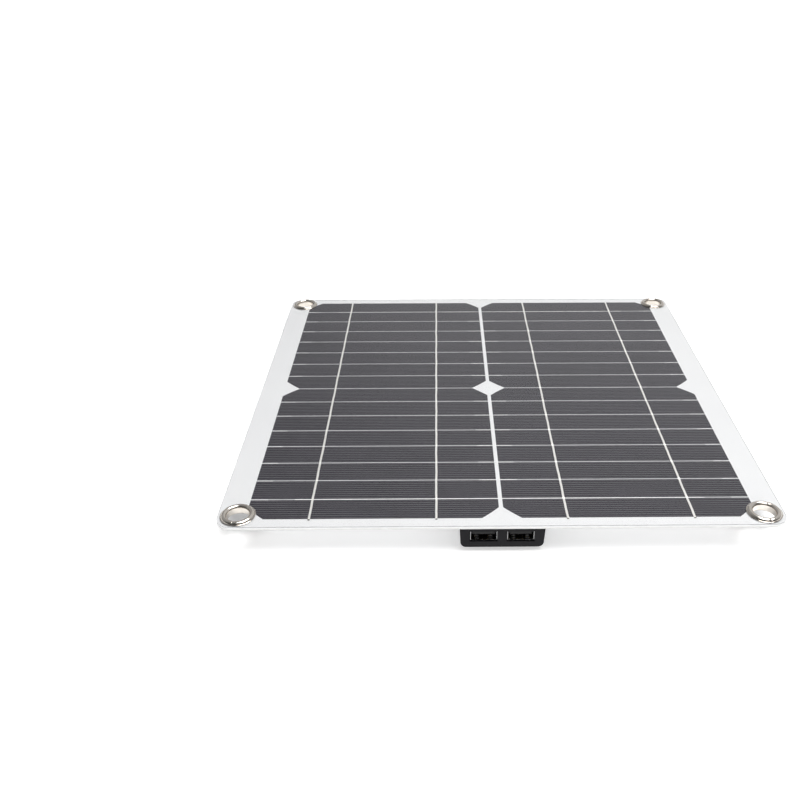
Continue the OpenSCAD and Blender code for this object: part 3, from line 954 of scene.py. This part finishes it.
@dataclass
class Eyelets:
    """Four nickel-plated eyelets, spun from one section and creased where they were rolled."""

    finishes: Finishes
    bore: float = 5.5 * MM
    metal: float = 0.35 * MM
    wall_share: float = 0.9
    roll: float = 1.45 * MM
    curl: float = 0.95 * MM
    lip: float = 8.75 * MM
    lip_round: float = 0.12 * MM
    lip_height: float = 0.75
    turns: int = 96
    arc_steps: int = 18
    crease_places: tuple[float, ...] = (262.0, 276.0, 70.0, 110.0)  # Degrees from +X
    crease_turn: float = 150.0  # Degrees to the second crease
    crease_width: float = 0.07  # Radians
    crease_depth: float = 0.16
    crease_pinch: float = 0.012

    def build(self) -> None:
        """Builds the four eyelets as one piece."""
        low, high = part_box("eyelets")
        piece = Piece("eyelet_rings")
        middle_x, middle_y = high.x - self.lip, high.y - self.lip
        corners = ((-1, -1), (1, -1), (-1, 1), (1, 1))
        for (sx, sy), crease in zip(corners, self.crease_places):
            ring = self._ring(low.z, high.z)
            for degrees in (crease, crease + self.crease_turn):
                self._crease(ring, math.radians(degrees), high.z - self.roll)
            piece.take(ring, Matrix.Translation((sx * middle_x, sy * middle_y, 0)))
        piece.show(self.finishes, "nickel_plate", "eyelets")

    def _ring(self, foot: float, top: float) -> bmesh.types.BMesh:
        """Spins one eyelet round the Z axis.

        Args:
            foot: Z of its lowest point.
            top: Z of its highest point.

        Returns:
            The eyelet.
        """
        rim_z, curl_z = top - self.roll, foot + self.curl
        rim_x, curl_x = self.bore + self.roll, self.bore + self.curl
        root = math.asin(self.metal / self.roll)
        root_x = rim_x + self.roll * math.cos(root)
        work = bmesh.new()
        ends = [
            bmesh.ops.create_vert(work, co=(x, 0, z))["vert"][0]
            for x, z in (
                (self.lip, rim_z + self.metal * self.lip_height),
                (self.lip - self.lip_round, rim_z + self.metal),
                (root_x, rim_z + self.metal),
            )
        ]
        for first, second in zip(ends, ends[1:]):
            work.edges.new((first, second))
        brim = self._arc(work, ends[-1], Vector((rim_x, 0, rim_z)), root - math.pi)
        down = bmesh.ops.create_vert(work, co=(self.bore, 0, curl_z))["vert"][0]
        work.edges.new((brim, down))
        self._arc(work, down, Vector((curl_x, 0, curl_z)), -math.pi)
        bmesh.ops.spin(
            work, geom=list(work.verts) + list(work.edges), angle=math.tau,
            steps=self.turns, axis=(0, 0, 1), cent=(0, 0, 0), use_merge=True,
        )
        bmesh.ops.remove_doubles(work, verts=work.verts, dist=NEAR)
        bmesh.ops.recalc_face_normals(work, faces=work.faces)
        bmesh.ops.solidify(work, geom=work.faces, thickness=self.metal * self.wall_share)
        return work

    def _arc(
        self, work: bmesh.types.BMesh, start: bmesh.types.BMVert, centre: Vector, angle: float
    ) -> bmesh.types.BMVert:
        """Spins a vertex round a centre in the X-Z plane, which leaves an arc of edges.

        Args:
            work: The bmesh.
            start: The vertex that the arc starts from.
            centre: The arc's centre.
            angle: How far it turns.

        Returns:
            The vertex at the arc's end.
        """
        made = bmesh.ops.spin(
            work, geom=[start], angle=angle, steps=self.arc_steps, axis=(0, 1, 0), cent=centre
        )
        return next(item for item in made["geom_last"] if isinstance(item, bmesh.types.BMVert))

    def _crease(self, ring: bmesh.types.BMesh, angle: float, base: float) -> None:
        """Presses a narrow radial crease into the rolled rim.

        Args:
            ring: The eyelet, round the Z axis.
            angle: Where the crease is, in radians from +X.
            base: Z above which the rim stands.
        """
        for vert in ring.verts:
            if vert.co.z <= base:
                continue
            off = math.remainder(math.atan2(vert.co.y, vert.co.x) - angle, math.tau)
            press = math.exp(-((off / self.crease_width) ** 2))
            vert.co.z -= self.crease_depth * press * (vert.co.z - base)
            vert.co.xy *= 1.0 - self.crease_pinch * press


# ---- Output box ----


@dataclass
class OutputBox:
    """The USB output box under the front edge: its cover, two sockets and what is inside."""

    finishes: Finishes
    edge: float = 2.8 * MM
    face_edge: float = 0.3 * MM
    wall: float = 1.6 * MM
    draft: float = 0.6 * MM
    window_clear: float = 0.3 * MM
    window_top: float = 0.1 * MM
    metal: float = 0.2 * MM
    shell_edge: float = 0.65 * MM
    tongue_width: float = 11.1 * MM
    tongue_thick: float = 1.84 * MM
    tongue_gap: float = 0.7 * MM
    tongue_root: float = 4.0 * MM
    tongue_edge: float = 0.22 * MM
    leaf_x: float = 3.4 * MM
    leaf_width: float = 1.8 * MM
    leaf_start: float = 1.4 * MM
    leaf_length: float = 7.6 * MM
    leaf_rise: float = 0.75 * MM
    leaf_peak: float = 0.2
    leaf_spread: Span = (0.04, 0.13)  # Before the peak and after it
    leaf_slope: float = 0.35
    leaf_crown: float = 0.25

    def build(self) -> None:
        """Builds the cover and the sockets, and dresses the parts inside."""
        self._cover()
        for side in Side:
            self._shell(side)
            self._tongue(side)
        self.finishes.dress({
            "usb_contacts_left": "gold_plate",
            "usb_contacts_right": "gold_plate",
            "adhesive_pad": "foam_adhesive",
            "box_base": "black_plastic",
            "circuit_board": "circuit_laminate",
            "power_inductor": "ferrite",
            "smoothing_capacitors": "capacitor_can",
            "regulator_chip": "component_resin",
            "blocking_diode": "component_resin",
            "panel_leads": "lead_insulation",
        })

    def _cover(self) -> None:
        """Builds the cover: a rounded tray with two windows in its front wall."""
        low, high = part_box("box_cover")
        size, centre = high - low, (high + low) / 2
        work = block(size, centre)
        for vert in work.verts:
            if vert.co.z < centre.z:
                vert.co.x -= math.copysign(self.draft, vert.co.x - centre.x)
        lean = math.atan(self.draft / size.z)

        def on_end(edge: bmesh.types.BMEdge) -> bool:
            """Whether an edge is on the front or the back face."""
            return level(edge, Axis.Y, low.y) or level(edge, Axis.Y, high.y)

        bevel_edges(
            work,
            lambda edge: level(edge, Axis.Z, low.z) and not on_end(edge),
            self.edge * math.tan(math.pi / 4 - lean / 2),
            segments=12,
        )
        bevel_edges(
            work,
            lambda edge: on_end(edge) and not level(edge, Axis.Z, high.z),
            self.face_edge,
            segments=3,
        )
        lid = [face for face in work.faces if level(face, Axis.Z, high.z)]
        bmesh.ops.delete(work, geom=lid, context="FACES")
        for side in Side:
            self._cut_window(work, side, low.y)
        bmesh.ops.recalc_face_normals(work, faces=work.faces)
        bmesh.ops.solidify(work, geom=work.faces, thickness=self.wall)
        bmesh.ops.remove_doubles(work, verts=work.verts, dist=SAME)
        bmesh.ops.recalc_face_normals(work, faces=work.faces)
        piece = Piece("box_shell")
        piece.take(work)
        piece.show(self.finishes, "black_plastic", "box_cover")

    def _cut_window(self, work: bmesh.types.BMesh, side: Side, front: float) -> None:
        """Cuts a socket's window in the front wall, which is still one skin.

        Args:
            work: The cover's skin.
            side: The side that it is on.
            front: Y of the front wall.
        """
        low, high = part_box(f"usb_shell_{side}")
        low = low - Vector((self.window_clear, 0, self.window_clear))
        high = high + Vector((self.window_clear, 0, self.window_top))
        across, up = Vector((1, 0, 0)), Vector((0, 0, 1))
        for corner, normal in ((low, across), (high, across), (low, up), (high, up)):
            faces = [face for face in work.faces if level(face, Axis.Y, front)]
            edges = dict.fromkeys(edge for face in faces for edge in face.edges)
            verts = dict.fromkeys(vert for face in faces for vert in face.verts)
            geom = [*verts, *edges, *faces]
            bmesh.ops.bisect_plane(work, geom=geom, dist=1e-8, plane_co=corner, plane_no=normal)
        hole = []
        for face in work.faces:
            middle = face.calc_center_median()
            inside = low.x < middle.x < high.x and low.z < middle.z < high.z
            if inside and level(face, Axis.Y, front):
                hole.append(face)
        bmesh.ops.delete(work, geom=hole, context="FACES")

    def _shell(self, side: Side) -> None:
        """Builds a socket's rounded steel shell with its two spring leaves.

        Args:
            side: The side that it is on.
        """
        low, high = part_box(f"usb_shell_{side}")
        size, centre = high - low, (high + low) / 2
        work = block(size, centre)
        bevel_edges(
            work,
            lambda edge: abs(edge.verts[0].co.y - edge.verts[1].co.y) > size.y / 2,
            self.shell_edge,
            segments=5,
        )
        ends = [f for f in work.faces if abs(f.normal.y) > 0.5]
        bmesh.ops.delete(work, geom=ends, context="FACES")
        bmesh.ops.recalc_face_normals(work, faces=work.faces)
        bmesh.ops.solidify(work, geom=work.faces, thickness=self.metal)
        piece = Piece(f"socket_shell_{side}")
        piece.take(work)
        for offset in (-self.leaf_x, self.leaf_x):
            piece.take(self._leaf(centre.x + offset, low))
        piece.show(self.finishes, "socket_steel", f"usb_shell_{side}")

    def _tongue(self, side: Side) -> None:
        """Builds a socket's insulator: a block at the back and a tongue with eased edges.

        Args:
            side: The side that it is on.
        """
        low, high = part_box(f"usb_tongue_{side}")
        middle = (low + high) / 2
        top = high.z - self.tongue_gap
        length = high.y - low.y
        tongue = block(
            Vector((self.tongue_width, length, self.tongue_thick)),
            Vector((middle.x, middle.y, top - self.tongue_thick / 2)),
        )
        bevel_edges(
            tongue, lambda edge: not level(edge, Axis.Y, high.y), self.tongue_edge, segments=3
        )
        back = block(
            Vector((high.x - low.x, self.tongue_root, high.z - low.z)),
            Vector((middle.x, high.y - self.tongue_root / 2, middle.z)),
        )
        bevel_edges(back, lambda edge: True, self.tongue_edge / 2, segments=2)
        piece = Piece(f"socket_tongue_{side}")
        piece.take(tongue)
        piece.take(back)
        piece.show(self.finishes, "socket_insulator", f"usb_tongue_{side}")

    def _leaf(self, x: float, low: Vector) -> bmesh.types.BMesh:
        """Builds a spring leaf on a shell's floor, with a bump behind the mouth.

        Args:
            x: Its middle.
            low: The shell's lowest corner, at the mouth.

        Returns:
            The leaf.
        """
        work = bmesh.new()
        bmesh.ops.create_grid(work, x_segments=4, y_segments=48, size=0.5)
        for vert in work.verts:
            share = vert.co.y + 0.5
            spread = self.leaf_spread[share >= self.leaf_peak]
            bump = math.exp(-(((share - self.leaf_peak) / spread) ** 2))
            slope = max(0.0, 1.0 - share) * self.leaf_slope
            crown = 1.0 - (2 * vert.co.x) ** 2 * self.leaf_crown
            vert.co = Vector((
                x + vert.co.x * self.leaf_width,
                low.y + self.leaf_start + share * self.leaf_length,
                low.z + self.metal + self.leaf_rise * min(1.0, bump + slope) * crown,
            ))
        bmesh.ops.solidify(work, geom=work.faces, thickness=self.metal)
        bmesh.ops.recalc_face_normals(work, faces=work.faces)
        return work


# ---- Studio ----


@dataclass(frozen=True)
class Softbox:
    """One rectangular studio light."""

    name: str
    place: Triple
    aim: Triple
    width: float
    depth: float
    power: float
    mirrored: bool = True

    def build(self) -> None:
        """Makes the light."""
        lamp = bpy.data.lights.new(self.name, "AREA")
        lamp.shape = "RECTANGLE"
        lamp.size, lamp.size_y = self.width, self.depth
        lamp.energy = self.power
        made = bpy.data.objects.new(self.name, lamp)
        made.visible_camera = False
        made.visible_glossy = self.mirrored
        made.location = self.place
        way = Vector(self.aim) - Vector(self.place)
        made.rotation_euler = way.to_track_quat("-Z", "Y").to_euler()
        bpy.context.scene.collection.objects.link(made)


@dataclass
class Studio:
    """Camera, pale floor, soft lights and surroundings."""

    sensor: float = 36.0
    lens: float = 38.966
    place: Triple = (-0.03087, -0.47024, 0.27498)
    turn: Triple = (59.425, 0.039, -0.509)
    shift: Span = (-0.05625, 0.01375)
    clip: Span = (0.01, 50.0)
    floor_radius: float = 8.0
    floor_gap: float = 0.05 * MM
    heel_inset: float = 2.8 * MM
    toe_inset: float = 2.3 * MM
    lights: tuple[Softbox, ...] = (
        Softbox("overhead", (0.3, -0.15, 1.3), (0, 0, 0), 1.1, 0.9, 19.5),
        Softbox("front_low", (0.1, -1.3, 0.3), (0, -0.14, 0.01), 1.2, 0.4, 4.5, mirrored=False),
    )
    front_to_back: Span = (-0.6, 0.6)
    front_to_back_levels: Span = (0.16, 0.66)
    horizon_to_up: Span = (0.0, 0.28)
    horizon_to_up_levels: Span = (0.3, 1.0)
    left_to_right: Span = (-0.25, 0.05)
    left_to_right_levels: Span = (0.6, 1.0)

    def build(self) -> None:
        """Builds the studio."""
        self._camera()
        self._floor()
        self._surroundings()
        for light in self.lights:
            light.build()

    def _camera(self) -> None:
        """Places the camera."""
        data = bpy.data.cameras.new("camera")
        data.sensor_width = self.sensor
        data.lens = self.lens
        data.shift_x, data.shift_y = self.shift
        data.clip_start, data.clip_end = self.clip
        camera = bpy.data.objects.new("camera", data)
        camera.location = self.place
        camera.rotation_euler = [math.radians(angle) for angle in self.turn]
        bpy.context.scene.collection.objects.link(camera)
        bpy.context.scene.camera = camera

    def _floor(self) -> None:
        """Lays the floor where the panel rests: on its box's rear foot and its far eyelets."""
        foot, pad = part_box("box_cover")[0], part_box("adhesive_pad")[1]
        eyelet_low, eyelet_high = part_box("eyelets")
        heel_y, toe_y = pad.y - self.heel_inset, eyelet_high.y - self.toe_inset
        slope = math.atan2(eyelet_low.z - foot.z, toe_y - heel_y)
        work = bmesh.new()
        bmesh.ops.create_circle(work, cap_ends=True, segments=96, radius=self.floor_radius)
        tilt = Matrix.Rotation(slope, 4, "X")
        at = Matrix.Translation((0, heel_y, foot.z - self.floor_gap))
        bmesh.ops.transform(work, matrix=at @ tilt, verts=work.verts)
        data = bpy.data.meshes.new("floor")
        work.to_mesh(data)
        work.free()
        data.materials.append(Floor().build())
        made = bpy.data.objects.new("floor", data)
        bpy.context.scene.collection.objects.link(made)

    def _surroundings(self) -> None:
        """Makes the white surroundings, darker to the sides for what mirrors them."""
        scene = bpy.context.scene
        scene.view_settings.view_transform = "Standard"
        world = bpy.data.worlds.new("studio")
        scene.world = world
        world.use_nodes = True
        sky = Shader.on_tree(world.node_tree)
        way = sky.node("ShaderNodeTexCoord", output="Generated")
        back = sky.ease(sky.along(way, Axis.Y), self.front_to_back, self.front_to_back_levels)
        up = sky.ease(sky.along(way, Axis.Z), self.horizon_to_up, self.horizon_to_up_levels)
        right = sky.ease(sky.along(way, Axis.X), self.left_to_right, self.left_to_right_levels)
        white = {"Color": (1.0, 1.0, 1.0, 1.0)}
        lit = sky.node("ShaderNodeBackground", inputs={**white, "Strength": back * up * right})
        seen = sky.node("ShaderNodeBackground", inputs=white)
        to_camera = sky.node("ShaderNodeLightPath", output="Is Camera Ray")
        mix = sky.node("ShaderNodeMixShader", inputs={0: to_camera, 1: lit, 2: seen})
        output = sky.tree.nodes.new("ShaderNodeOutputWorld")
        sky.tree.links.new(mix.socket, output.inputs["Surface"])


def main() -> None:
    """Builds the panel and its studio."""
    logging.basicConfig(level=logging.INFO, format="%(name)s: %(message)s")
    finishes = Finishes()
    for part in (Laminate(finishes), Ribbons(finishes), Eyelets(finishes), OutputBox(finishes)):
        part.build()
    Studio().build()


if __name__ == "__main__":
    main()
